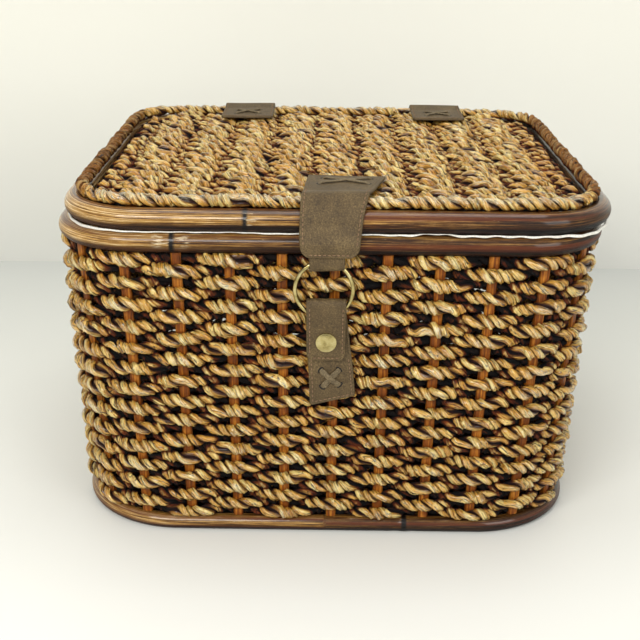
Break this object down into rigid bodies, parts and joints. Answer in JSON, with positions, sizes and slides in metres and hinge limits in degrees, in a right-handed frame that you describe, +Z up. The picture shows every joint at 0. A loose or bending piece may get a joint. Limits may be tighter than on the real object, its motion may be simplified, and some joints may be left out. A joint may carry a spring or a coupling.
{
  "type": "lidded wicker basket",
  "caption": "Rectangular woven rope basket on cane poles, with a hinged lid, leather straps, and a ring held by a snapped catch strap.",
  "frame": {"origin": "on the floor, under the middle of the rim pole's outline", "axes": "+X to the right as seen from the front, +Y to the back where the lid hinges, +Z up"},
  "size_m": [0.4053, 0.3747, 0.2674],
  "materials": {
    "rope": "glossy twisted seagrass rope",
    "stakes": "varnished split cane",
    "poles": "stained and varnished cane pole",
    "leather": "taupe matt leather",
    "thong": "dark matt leather thong",
    "brass": "pale antique brass",
    "edging": "off-white cord"
  },
  "bodies": {
    "basket": {"base_ring": "poles", "base_panel": "rope", "rim_ring": "poles", "woven_wall": "rope", "stakes_front": "stakes", "stakes_right": "stakes", "stakes_back": "stakes", "stakes_left": "stakes", "catch_strap": "leather", "catch_lacing": "thong", "snap_stud": "brass", "hinge_left_lower": "leather", "hinge_right_lower": "leather", "hinge_left_lower_lacing": "thong", "hinge_right_lower_lacing": "thong"},
    "lid": {"lid_ring": "poles", "lid_stakes": "stakes", "lid_weave": "rope", "lid_border_rope": "rope", "lid_edge_cord": "edging", "hinge_left_upper": "leather", "hinge_right_upper": "leather", "hinge_left_upper_lacing": "thong", "hinge_right_upper_lacing": "thong", "flap_anchor": "leather", "flap_lacing": "thong"},
    "flap": {"front_flap": "leather", "ring_loop": "leather"},
    "ring": {"o_ring": "brass"},
    "snap_layer": {"snap_strap": "leather", "snap_socket": "brass", "snap_cap": "brass"}
  },
  "joints": [
    {"name": "lid_hinge", "type": "hinge", "parent": "basket", "child": "lid", "pos_m": [0, 0.1837, 0.23935], "axis": [-1, 0, 0], "range_deg": [0, 120]},
    {"name": "flap_lift", "type": "hinge", "parent": "lid", "child": "flap", "pos_m": [0.0035, -0.148, 0.26515], "axis": [-1, 0, 0], "range_deg": [0, 150]},
    {"name": "ring_swing", "type": "hinge", "parent": "flap", "child": "ring", "pos_m": [-0.0038, -0.18435, 0.22195], "axis": [-1, 0, 0], "range_deg": [0, 85], "deforming": ["ring_loop"]},
    {"name": "snap_strap_open", "type": "hinge", "parent": "basket", "child": "snap_layer", "pos_m": [-0.0018, -0.18443, 0.1952], "axis": [-1, 0, 0], "range_deg": [0, 150], "deforming": ["snap_strap"]}
  ]
}
